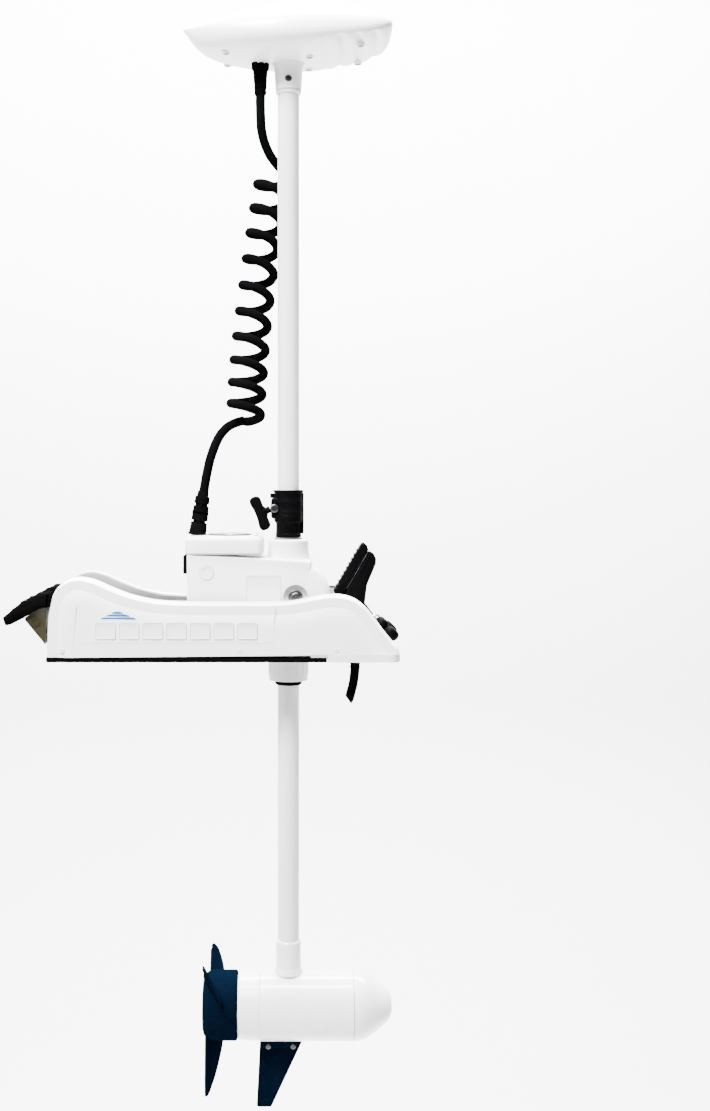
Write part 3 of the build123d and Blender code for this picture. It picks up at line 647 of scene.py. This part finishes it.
def clamp():
    """The wing knob: two rounded ears on a waisted hub, drawn upright and then turned to its axis."""
    wing = [(-20, 11.6), (-14, 10.8), (-7, 11.0), (0, 10.6), (7, 11.0), (14, 10.8), (20, 11.6), (23, 17.5),
            (21.5, 23.6), (16, 25.6), (8, 24.4), (0, 24.0), (-8, 24.4), (-16, 25.6), (-21.5, 23.6),
            (-23, 17.5)]
    ears = slab(curve_through(wing, 4, closed=True), -7.0, 7.0, "y", round_low=2.2, round_high=2.2, steps=5)
    hub_profile = [(4, 4.4), (9, 4.4), (10, 7.0), (11, 7.6), (18, 7.2), (22.6, 6.0), (23.4, 4.0), (23.6, 0.05)]
    hub = turned_mesh(hub_profile, "z", (0, 0, 0), 40)
    dimples = [turned_mesh([(6.0, 5.0), (6.5, 4.6), (6.5, 3.6), (6.0, 3.2)], "y", (x, 0, 19.3), 28)
               for x in (-16.5, 16.5)]
    mesh = turned_by(join(ears, hub, *dimples), "Y", KNOB_TURN)
    piece("wing_knob", *moved(mesh, (-20, 0, KNOB_Z)), BLACK, "clamp", "clamp_knob")


# ---- Foot pedal ----
def pedal():
    """The foot pedal: a ribbed tread plate on a curved web, with its rivet."""
    tread = rounded([(60, 77), (97, 140.5), (100.5, 142.8), (105, 138.5), (107.4, 132.2), (72.6, 71.6),
                     (66, 70)], [3, 3, 3, 3, 1, 2, 3])
    plate = slab(tread, 48.7, 69.3, "y", round_low=2.5, round_high=2.5, steps=5)
    web = rounded([(73.4, 71.2), (108.2, 131.6), (114, 127.5), (117.3, 121), (117.2, 114), (111, 99),
                   (105.3, 86), (102.7, 66), (100, 50), (93, 33), (76, 33), (70, 50), (70, 66)],
                  [1, 4, 4, 4, 5, 8, 8, 8, 8, 6, 6, 6, 3], 5)
    body = slab(web, 50.2, 66.8, "y", round_low=3.0, round_high=3.0, steps=6)
    ribs = []
    along = Vector((97 - 60, 0, 140.5 - 77)).normalized()
    for k in range(9):
        at = Vector((60, 0, 77)) + along * (9 + 6.8 * k)
        rib = box_mesh((-0.9, 0.9), (51, 67), (-1.0, 1.0), 0.4)
        ribs.append(([(p[0] + at.x - 0.35, p[1], p[2] + at.z + 0.2) for p in rib[0]], rib[1]))
    piece("pedal", *join(plate, body, *ribs), BLACK, "pedal", "foot_pedal")
    pin = screw_head((84, 50, 40), 4.6, -1.6, "y", 0.6)
    piece("pedal_rivet", *pin, STEEL, "pedal")


# ---- Rests at the stern ----
def rests():
    """Two rubber beaks at the stern that the motor lies on, each on a tinted bracket."""
    beak = rounded([(-298, 87), (-313, 85.6), (-331.7, 76.2), (-357, 55.2), (-353.6, 44.7), (-346, 47),
                    (-330.5, 55), (-312, 66), (-298, 69)], [2, 8, 14, 3, 3, 5, 10, 8, 2], 6)
    meshes, brackets = [], []
    for side in (-1, 1):
        low, high = sorted((46 * side, 74 * side))
        meshes.append(slab(beak, low, high, "y", round_low=4.0, round_high=4.0, steps=6))
        for k in range(4):
            x = -312 - 11 * k
            z = np.interp(-x, [298, 313, 331.7, 357], [87, 85.6, 76.2, 55.2]) - 1.0
            meshes.append(box_mesh((x - 1.2, x + 1.2), (low + 5, high - 5), (z - 1.2, z + 1.4), 0.8))
        gusset = rounded([(-331, 54), (-304.4, 22), (-303.3, 22), (-303.3, 70), (-312, 67)],
                         [4, 4, 1, 1, 4], 6)
        for y in (51.5, 65.5):
            brackets.append(slab(gusset, y * side, (y + 3) * side, "y", round_high=0.8, steps=3))
        web = rounded([(-314, 43), (-304, 32), (-303.4, 32), (-303.4, 60), (-311, 60)], 2)
        brackets.append(slab(web, 52 * side, 67 * side, "y"))
        brackets.append(tube_mesh([(50.6 * side, 3.6), (50.6 * side, 5.6), (69.6 * side, 5.6),
                                   (69.6 * side, 3.6)], "y", (-316.5, 0, 50), 32))
    piece("rest_pads", *join(*meshes), RUBBER, "base", "pod_rests")
    piece("rest_gussets", *join(*brackets), TINTED, "base", "rest_brackets")


# ---- Lock knob and strap at the bow ----
LOCK_AT = (123.0, 0.0, 26.0)


def lobed_outline(lobes, r_out, r_in, count=90):
    """A round outline with evenly spread lobes."""
    out = []
    for i in range(count):
        a = 2 * math.pi * i / count
        wave = abs(math.cos(lobes * a / 2)) ** 0.7
        r = r_in + (r_out - r_in) * wave
        out.append((r * math.cos(a), r * math.sin(a)))
    return out


def lock():
    """The three-lobed lock knob on its slanted stud, and the steel lashing eye above it."""
    crown = slab(lobed_outline(3, 20.5, 9.5), 2.5, 16.0, "z", round_low=4.5, round_high=6.5, steps=8)
    hub_profile = [(0.5, 8.5), (3.5, 9.0), (15.5, 9.4), (17.0, 8.4), (18.0, 6.0), (18.0, 0.1)]
    hub = turned_mesh(hub_profile, "z", (0, 0, 0), 40)
    mesh = turned_by(turned_by(join(crown, hub), "Z", 60), "Y", 45)
    piece("lock_grip", *moved(mesh, LOCK_AT), BLACK, "lock", "lock_knob")
    eye_profile = [(-2.2, 3.4), (-2.6, 4.6), (-1.6, 6.0), (1.6, 6.0), (2.6, 4.6), (2.2, 3.4)]
    eye = tube_mesh(eye_profile, "y", (113.5, 0, 46.5), 40)
    stem = turned_mesh([(34, 2.4), (41, 2.4)], "z", (113.5, 0, 0), 20)
    piece("lash_eye", *join(eye, stem), STEEL, "base")


def strap():
    """A rubber strap with a bead at its head and an oblique rounded tail."""
    hang = [(86.6, 0, 13), (86.8, 0, -4), (86.2, 0, -22), (84.0, 0, -38), (80.5, 0, -52), (78.2, 0, -59)]
    section = rounded([(-5.6, -7.5), (5.6, -7.5), (5.6, 7.5), (-5.6, 7.5)], 2.2, 5)
    points = []
    path = np.array(curve_through(hang, 6))
    along = np.gradient(path, axis=0)
    along /= np.linalg.norm(along, axis=1)[:, None]
    end = len(path) - 1
    for i, (p, t) in enumerate(zip(path, along)):
        side = np.cross(t, (0, 1, 0))
        left = (end - i) / 4.0
        shrink = 1.0 if left >= 1 else 0.72 + 0.28 * math.sqrt(max(0.0, 1 - (1 - left) ** 2))
        for u, v in section:
            lean = 3.5 * (u / 5.6) * max(0.0, 1 - left)
            q = p + side * u * shrink + np.array((0, 1, 0)) * v * shrink + t * lean
            points.append(tuple(q))
    belt = skinned(points, len(path))
    head = slab(rounded([(74, -14), (99, -14), (99, 14), (74, 14)], 5), 9.3, 14, "z", round_high=1.5, steps=4)
    ribs = [moved(box_mesh((-6.6, 6.6), (-6, 6), (-0.8, 0.8), 1.0), (86.5 - 0.012 * (10 + z) ** 2 / 4, 0, z))
            for z in (-6, -11, -16)]
    piece("strap", *join(belt, head, *ribs), RUBBER, "base", "hold_down_strap")


# ---- Control head ----
HEAD_TOP = [(-137, 811.4), (-126, 813.8), (-108, 818.5), (-73.5, 827), (-35.8, 835), (2, 841), (29, 842.5),
            (67, 838.5), (105, 830.5), (120, 826), (128, 822), (132.5, 815)]
HEAD_LOW = [(-137, 810.6), (-131, 803), (-124, 793.5), (-115, 785), (-104, 778.5), (-85, 772.8),
            (-54, 768.5), (-17.6, 766.6), (20, 767.4), (50, 770.4), (80, 775), (105, 780.5), (119, 786),
            (127, 792), (132.5, 801)]
HEAD_HALF = [(-137, 1.2), (-132, 9), (-124, 20), (-112, 32), (-92, 46), (-62, 60.5), (-25, 71), (10, 75.6),
             (48, 75), (84, 69), (108, 61.5), (122, 54), (129, 47), (132.5, 39)]
HEAD_SEAM = [(-137, 811), (-118, 803.5), (-80, 796), (-30, 791), (20, 790), (70, 793), (105, 798),
             (132.5, 806)]
GRIP_NOTCH_X = 71.0
GRIP_PITCH = 21.5


def along_head(table, x):
    """A smooth value along the head's length."""
    places, values = zip(*curve_through(table, 6))
    return float(np.interp(x, places, values))


def head_lower_z(x, y):
    """The underside's height at a place on it."""
    half, seam, low = (along_head(t, x) for t in (HEAD_HALF, HEAD_SEAM, HEAD_LOW))
    share = max(0.0, 1 - (abs(y) / half) ** 2.4)
    return seam - (seam - low) * share ** (1 / 2.4)


def head_ring(x, upper, count=44):
    """Half a section across the head, above or below the widest line."""
    half, seam, low, top = (along_head(t, x) for t in (HEAD_HALF, HEAD_SEAM, HEAD_LOW, HEAD_TOP))
    ring = []
    for i in range(count + 1):
        a = math.pi * i / count
        c, s = math.cos(a), math.sin(a)
        if upper:
            y = half * math.copysign(abs(c) ** (2 / 2.25), c)
            z = seam + 0.05 + (top - seam) * s ** (2 / 2.1)
        else:
            y = (half - 0.1) * math.copysign(abs(c) ** (2 / 2.4), c)
            drop = (seam - low) * s ** (2 / 2.4)
            z = seam - 0.05 - drop
            # scalloped grip ribs under the bow end, each groove slanting back as it rises
            reach = min(1.0, max(0.0, (x - 46) / 8)) * min(1.0, max(0.0, (131 - x) / 4))
            reach *= min(1.0, max(0.0, (s - 0.28) / 0.2))
            u = (x + 0.55 * (z - low) - GRIP_NOTCH_X) / GRIP_PITCH
            z += 6.0 * reach * (1 - abs(math.sin(math.pi * u))) ** 1.4
        ring.append((x, y, z))
    return ring


def head_half(upper):
    """The head's top or bottom cover; the sections stand closer at both ends."""
    runs = [np.linspace(-137, -120, 12), np.linspace(-117, 120, 118), np.linspace(121.5, 132.5, 10)]
    xs = list(np.concatenate(runs))
    rings = [head_ring(x, upper) for x in xs]
    count = len(rings[0])
    points = [p for ring in rings for p in ring]
    faces = []
    for k in range(len(rings) - 1):
        for i in range(count - 1):
            a = k * count + i
            faces.append((a, a + 1, a + count + 1, a + count))
    faces.append(tuple(range(count)))
    faces.append(tuple(range((len(rings) - 1) * count, len(rings) * count)))
    return points, faces


def head_screws():
    """Screws in small raised wells on the head's underside."""
    screws, wells = [], []
    for x, y in ((-80, 27), (-35, 13), (27, 28), (92, 40)):
        for side in (-1, 1):
            z = head_lower_z(x, y * side)
            well = [(z + 6, 5.2), (z - 1.6, 5.2), (z - 2.0, 4.6), (z - 1.6, 3.9), (z + 6, 3.9)]
            wells.append(tube_mesh(well, "z", (x, y * side, 0), 32))
            screw = [(z + 6, 3.9), (z - 1.5, 3.9), (z - 2.4, 3.2), (z - 2.4, 1.4), (z - 1.4, 1.1),
                     (z - 1.4, 0.05)]
            screws.append(turned_mesh(screw, "z", (x, y * side, 0), 32))
    piece("head_screw_wells", *join(*wells), WHITE, "shaft_unit")
    piece("head_screws", *join(*screws), DARK_STEEL, "shaft_unit")


def head_neck():
    """The neck that grips the shaft's top, with a grey ring painted as the shade in the groove near its lip,
    and a cross-headed screw.
    """
    profile = [(727, SHAFT_R + 0.1), (727, 15.2), (727.8, 16.0), (730.5, 16.3), (731, 15.6), (732, 15.6),
               (732.5, 16.6), (745, 17.6), (757, 18.2), (763, 19.2), (768, 21.5), (768, SHAFT_R + 0.1)]
    piece("neck", *tube_mesh(profile, "z", (0, 0, 0)), WHITE, "shaft_unit", "head_neck")
    # the grey ring in the neck's groove is painted shade
    lip = tube_mesh([(730.6, 15.4), (730.6, 16.5), (732.2, 16.5), (732.2, 15.4)], "z", (0, 0, 0))
    piece("neck_groove_shade", *lip, GROOVE_SHADE, "shaft_unit")
    seat_profile = [(-16.0, 4.9), (-17.9, 6.2), (-18.2, 5.6), (-18.0, 4.6), (-16.0, 4.4)]
    piece("neck_screw_seat", *tube_mesh(seat_profile, "y", (0, 0, 744), 40), WHITE, "shaft_unit")
    head = screw_head((0, -16.2, 744), 4.6, -2.6, "y", 0.9)
    bar = box_mesh((-2.6, 2.6), (-17.9, -17.4), (743.5, 744.5))
    cross = [turned_by(bar, "Y", a, (0, 0, 744)) for a in (45, 135)]
    piece("neck_bolt", *join(head, *cross), DARK_STEEL, "shaft_unit", "neck_screw")


def control_head():
    piece("head_top", *head_half(True), WHITE, "shaft_unit", "head_cover_top", smooth_deg=50)
    piece("head_bottom", *head_half(False), WHITE, "shaft_unit", "head_cover_bottom", smooth_deg=50)
    head_screws()
    head_neck()


# ---- Propeller and skeg ----
HUB_REAR, HUB_FRONT = (v - AXIS_X for v in span("propeller", 0))
BLADE_REAR = -107.0
BLADE_ANGLES = (170.0, 290.0, 50.0)
BLADE_STATIONS = [(34, 46, 7.0, 30), (60, 44, 5.0, 26), (88, 38, 3.6, 19), (104, 26, 2.6, 14),
                  (109, 18, 2.2, 12.6), (111.5, 7, 1.2, 12)]


def blade_mesh():
    """One blade with a thin aerofoil section, pointing up from the hub's middle."""
    stations = curve_through(BLADE_STATIONS, 6)
    points = []
    for r, chord, thick, pitch in stations:
        turn = math.radians(pitch)
        middle_x = BLADE_REAR + chord / 2 * math.sin(turn)
        for i in range(32):
            a = 2 * math.pi * i / 32
            u = chord / 2 * math.cos(a)
            v = thick / 2 * math.sin(a) * (1 - 0.35 * math.cos(a)) + 1.6 * (1 - (2 * u / chord) ** 2)
            points.append((middle_x - math.sin(turn) * u + math.cos(turn) * v,
                           math.cos(turn) * u + math.sin(turn) * v, r))
    return skinned(points, len(stations))


def propeller():
    """Three blades on a round hub with webs in its open rear."""
    hub = turned_mesh([
        (HUB_REAR + 10, 11.5), (HUB_REAR + 10, 12), (HUB_REAR, 12.4), (HUB_REAR, 31), (HUB_REAR + 1.2, 35.5),
        (HUB_REAR + 4, 39.4), (HUB_REAR + 8, 42.0), (HUB_REAR + 13, 43.2), (HUB_FRONT - 2, 43.4),
        (HUB_FRONT - 1.0, 43.0), (HUB_FRONT, 42.0), (HUB_FRONT, 6),
    ], "x", (0, 0, 0), 120)
    blades = [turned_by(blade_mesh(), "X", a) for a in BLADE_ANGLES]
    webs = []
    for a in range(0, 360, 60):
        webs.append(turned_by(box_mesh((HUB_REAR - 0.1, HUB_REAR + 0.8), (-1.6, 1.6), (13, 30), 0.3), "X", a))
    mesh = moved(join(hub, *blades, *webs), (0, 0, POD_Z))
    piece("prop", *mesh, NAVY, "rotor", "propeller")


def skeg():
    """The fin under the motor: a thin blade on a thicker foot that follows the tube."""
    fin = rounded([(-36.8, -492), (18.6, -492), (-22.2, -586.4), (-41.2, -586.4)], [0, 0, 5, 3], 5)
    blade = join(slab(fin, 0, 2.6, "y", round_high=1.4, steps=4),
                 slab(fin, 0, -2.6, "y", round_high=1.4, steps=4))
    foot = rounded([(-37, -488), (20, -488), (13.5, -507), (-35, -511)], [1, 1, 6, 6], 5)
    base = slab(foot, -8, 8, "y", round_low=2.5, round_high=2.5, steps=5)
    points = []
    drawn, faces = join(blade, base)
    for x, y, z in drawn:
        seat = -math.sqrt(max(0.0, (POD_R + 0.1) ** 2 - y**2)) + POD_Z
        points.append((x, y, min(z, seat)))
    piece("fin", points, faces, NAVY, "shaft_unit", "skeg")
    heads = [screw_head((x, side * 7.9, -506.5), 3.4, side * 1.3, "y", 0.5)
             for x in (-26, 6) for side in (-1, 1)]
    piece("fin_screws", *join(*heads), DARK_STEEL, "shaft_unit", "skeg_screws")


# ---- Small details on the deck mount ----
def mount_details():
    """The dust seal under the sleeve, grey strips at the bow painted as the shade in the gap under the covers,
    the cover screws and the tilt bolts.
    """
    seal_profile = [(-32.6, 14.2), (-32.6, 16.8), (-33.6, 17.2), (-37.4, 17.2), (-38.6, 16.2), (-38.6, 14.2)]
    piece("dust_seal", *tube_mesh(seal_profile, "z", (0, 0, 0)), RUBBER, "steering_unit", "seal_ring")
    strips, screws, bolts = [], [], []
    # grey strips at the bow, under the covers' edge: painted shade in the gap there
    for side in (-1, 1):
        across = sorted((side * (HALF_WIDTH - 3), side * (HALF_WIDTH + 0.2)))
        strips.append(box_mesh((28, 49.5), across, (6.1, 9.9), 0.5))
    piece("bow_gap_shade", *join(*strips), GROOVE_SHADE, "base")
    for x in (-282, -60, 60):
        for side in (-1, 1):
            screws.append(screw_head((x, side * (HALF_WIDTH - 0.3), 15), 3.2, side * 1.0, "y", 0.5))
    piece("cover_bolts", *join(*screws), WHITE_METAL, "base", "cover_screws")
    for side in (-1, 1):
        head = screw_head((PIVOT_X, side * 44.5, PIVOT_Z), 6.6, side * 5.0, "y", 2.2)
        ring = [(43.5, 5), (43.5, 9.4), (45.2, 9.4), (45.6, 8.8), (45.6, 5)]
        washer = tube_mesh([(side * y, r) for y, r in ring], "y", (PIVOT_X, 0, PIVOT_Z), 40)
        shank = turned_mesh([(side * 23, 5), (side * 45, 5)], "y", (PIVOT_X, 0, PIVOT_Z), 32)
        bolts.append(join(head, washer, shank))
    piece("tilt_bolts", *join(*bolts), DARK_STEEL, "base", "pivot_bolts")


side_covers()
housing()
strain_relief()
gland()
collar()
clamp()
pedal()
rests()
lock()
strap()
control_head()
propeller()
skeg()
mount_details()


# ---- Cords ----
CORD_R = 6.1
UPPER_LEAD = [
    (-36.5, 0, 726.9), (-36.5, 0.5, 702), (-35, 3, 677), (-27, 13, 655), (-14, 28, 640),
    (-2, 37, 632), (1.5, 39, 624.2),
]
COIL_PATH = [(-19, 41, 624), (-34, 31, 545), (-46, 13, 450), (-53, 4, 380), (-56, 1, 312)]
LOWER_LEAD = [
    (-58, 19, 304.5), (-74, 16, 301), (-90, 8, 286), (-101, 1, 258), (-107, 0, 231), (-110.6, 0, 207.6)
]
COIL_TURNS = 10.25
COIL_STEPS = 14  # points per turn
HELIX_R = 20.3
HELIX_LEAN = 2.0  # each turn hangs this much lower at the back
COIL_BUNCH = 0.012  # the turns crowd a little at both ends
FIRST_STEP = 3  # the lead joins the coil part way round the first turn
COIL_TOP = 631.0
COIL_END = 305.0


def on_coil_axis(t):
    """A point on the Bezier line through the coil's middle, and its direction."""
    points = [np.array(p, float) for p in COIL_PATH]
    points[0][2] = COIL_TOP
    points[-1][2] = COIL_END
    while len(points) > 2:
        points = [(1 - t) * a + t * b for a, b in zip(points, points[1:])]
    along = points[1] - points[0]
    return (1 - t) * points[0] + t * points[1], along / np.linalg.norm(along)


def coil_points():
    """The coil's turns, each square to the leaning axis, as points of the cord's own spline."""
    out = []
    count = int(COIL_TURNS * COIL_STEPS)
    for i in range(FIRST_STEP, count + 1):
        t = i / count
        centre, along = on_coil_axis(t - COIL_BUNCH * math.sin(2 * math.pi * t))
        right = np.array((1.0, 0, 0)) - along * along[0]
        right /= np.linalg.norm(right)
        back = np.cross(right, along)
        a = 2 * math.pi * COIL_TURNS * t
        r = HELIX_R * (1 + 0.02 * math.sin(9.0 * t + 0.7))
        lean = HELIX_LEAN * math.sin(a) * along
        out.append(tuple(centre + r * (math.cos(a) * right + math.sin(a) * back) + lean))
    return out


def route_line(name, points):
    """The points of a smooth spline with these control points, in metres."""
    curve = bpy.data.curves.new(name, "CURVE")
    curve.dimensions = "3D"
    curve.resolution_u = 6
    spline = curve.splines.new("NURBS")
    spline.points.add(len(points) - 1)
    for place, (x, y, z) in zip(spline.points, points):
        place.co = ((x + AXIS_X) * MM, y * MM, z * MM, 1)
    spline.order_u = 3
    spline.use_endpoint_u = True
    holder = bpy.data.objects.new(name, curve)
    mesh = bpy.data.meshes.new_from_object(holder)
    line = [tuple(v.co) for v in mesh.vertices]
    bpy.data.objects.remove(holder)
    bpy.data.meshes.remove(mesh)
    return line


def cord_mesh(line, radius, sides=20):
    """A round tube along a line in metres, without twist; the points come out in millimetres."""
    p = np.array(line)
    along = np.gradient(p, axis=0)
    along /= np.linalg.norm(along, axis=1)[:, None]
    side = np.cross(along[0], (0.3, 1.0, 0.2))
    points = []
    for i in range(len(p)):
        side = side - along[i] * (side @ along[i])
        side /= np.linalg.norm(side)
        other = np.cross(along[i], side)
        for k in range(sides):
            a = 2 * math.pi * k / sides
            q = p[i] / MM + radius * (math.cos(a) * side + math.sin(a) * other)
            points.append((q[0] - AXIS_X, q[1], q[2]))
    return skinned(points, len(p))


def cords():
    """The coiled cord between head and housing, and the lower lead into the strain relief."""
    upper = route_line("upper_route", UPPER_LEAD + coil_points() + LOWER_LEAD[:1])
    coil = piece("coil_cord", *cord_mesh(upper, CORD_R), CORD, "shaft_unit",
                 ("cord_upper_lead", "cord_coil"))
    lower = route_line("lower_route", LOWER_LEAD)
    lead = piece("lower_lead", *cord_mesh(lower, CORD_R), CORD, "steering_unit", "cord_lower_lead")
    for item in (coil, lead):
        item.parent = None
        if "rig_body" in item:
            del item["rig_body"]
    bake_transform(coil)
    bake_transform(lead)


cords()

# ---- Room ----
FLOOR_Z = -1500.0


def room():
    """A pale floor that curves up into a wall behind the motor."""
    profile = [(-6000, FLOOR_Z), (2400, FLOOR_Z)]
    for a in np.linspace(0, math.pi / 2, 12)[1:]:
        profile.append((2400 + 900 * math.sin(a), FLOOR_Z + 900 * (1 - math.cos(a))))
    profile.append((3300, 6000))
    points = [(x, y, z) for y, z in profile for x in (-7000, 7000)]
    faces = [(2 * i, 2 * i + 1, 2 * i + 3, 2 * i + 2) for i in range(len(profile) - 1)]
    mesh = bpy.data.meshes.new("floor")
    mesh.from_pydata([(x * MM, y * MM, z * MM) for x, y, z in points], [], faces)
    mesh.polygons.foreach_set("use_smooth", [True] * len(mesh.polygons))
    mesh.materials.append(finish("studio_paper", (0.6, 0.6, 0.6), 0.85, 40, 0.05, 0.985))
    floor = bpy.data.objects.new("floor", mesh)
    bpy.context.scene.collection.objects.link(floor)


def area_light(name, place, aim, size, power):
    data = bpy.data.lights.new(name, "AREA")
    data.shape = "RECTANGLE"
    data.size, data.size_y = size
    data.energy = power
    light = bpy.data.objects.new(name, data)
    bpy.context.scene.collection.objects.link(light)
    light.location = place
    light.rotation_euler = (Vector(aim) - Vector(place)).to_track_quat("-Z", "Y").to_euler()


def lights():
    area_light("key", (-1.0, -1.7, 2.6), (0.1, 0, 0.25), (0.9, 0.9), 680)
    area_light("fill", (-2.4, -1.8, 0.1), (0.1, 0, -0.2), (0.8, 2.4), 22)
    area_light("top", (0.25, -0.1, 2.3), (0.1, 0, 0), (0.9, 0.7), 420)
    area_light("wall", (0.2, 1.6, 2.6), (0.2, 3.6, -0.9), (5.0, 1.0), 1900)
    world = bpy.data.worlds.new("world")
    world.use_nodes = True
    world.node_tree.nodes["Background"].inputs["Color"].default_value = (0.96, 0.98, 1.0, 1)
    world.node_tree.nodes["Background"].inputs["Strength"].default_value = 0.08
    bpy.context.scene.world = world


room()
lights()
